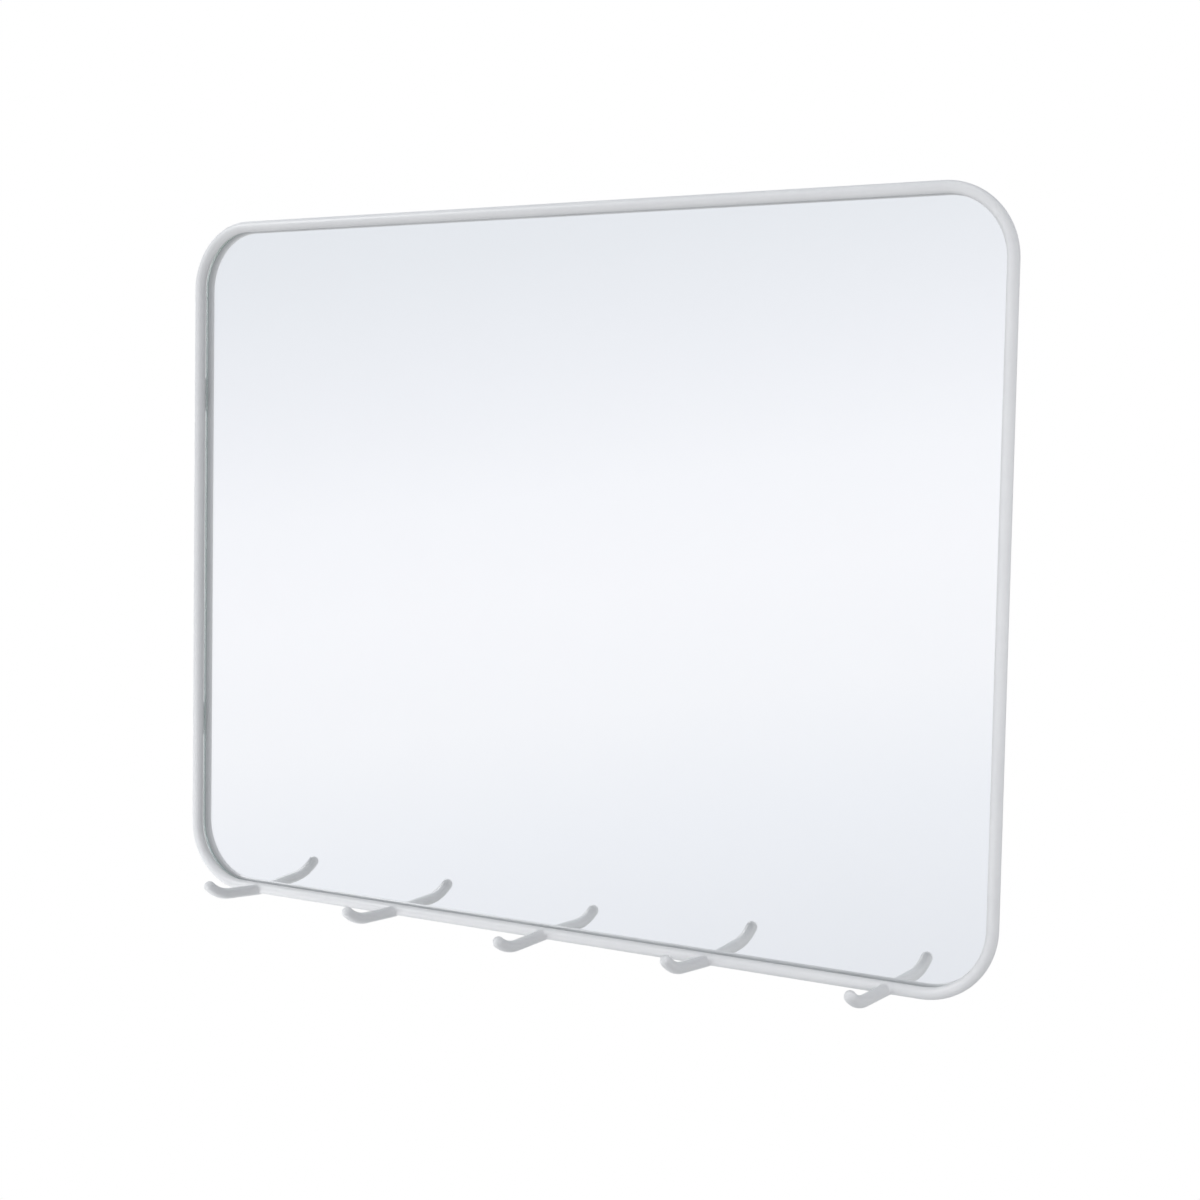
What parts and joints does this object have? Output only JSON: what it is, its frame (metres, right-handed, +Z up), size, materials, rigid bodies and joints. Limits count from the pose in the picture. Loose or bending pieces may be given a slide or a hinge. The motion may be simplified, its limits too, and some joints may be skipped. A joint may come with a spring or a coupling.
{
  "type": "wall mirror with hooks",
  "caption": "Landscape wall mirror with round corners in a bent tube frame, with upturned coat hooks welded along the bottom rail and keyhole hangers behind.",
  "frame": {"origin": "on the wall plane, midway between the round ends of the two keyholes", "axes": "+X right along the mirror's width as seen from the front, +Y from the mirror into the wall, +Z up"},
  "size_m": [0.787, 0.0911, 0.6126],
  "materials": {
    "frame_paint": "satin",
    "mirror": "polished",
    "foam": "matte",
    "board": "matte",
    "zinc_steel": "satin",
    "rubber": "matte"
  },
  "bodies": {
    "root": {"frame_tube": "frame_paint", "hook_1": "frame_paint", "hook_2": "frame_paint", "hook_3": "frame_paint", "hook_4": "frame_paint", "hook_5": "frame_paint", "mirror_pane": "mirror", "foam_tape_1": "foam", "foam_tape_2": "foam", "foam_tape_3": "foam", "foam_tape_4": "foam", "backing_board": "board", "retaining_tab_1": "frame_paint", "retaining_tab_2": "frame_paint", "retaining_tab_3": "frame_paint", "retaining_tab_4": "frame_paint", "retaining_tab_5": "frame_paint", "retaining_tab_6": "frame_paint", "retaining_tab_7": "frame_paint", "retaining_tab_8": "frame_paint", "retaining_tab_9": "frame_paint", "retaining_tab_10": "frame_paint", "tab_screws": "zinc_steel", "keyhole_hanger_left": "zinc_steel", "keyhole_hanger_right": "zinc_steel", "hanger_screws": "zinc_steel", "bumper_top_left": "rubber", "bumper_top_right": "rubber", "bumper_bottom_left": "rubber", "bumper_bottom_right": "rubber"}
  },
  "joints": []
}
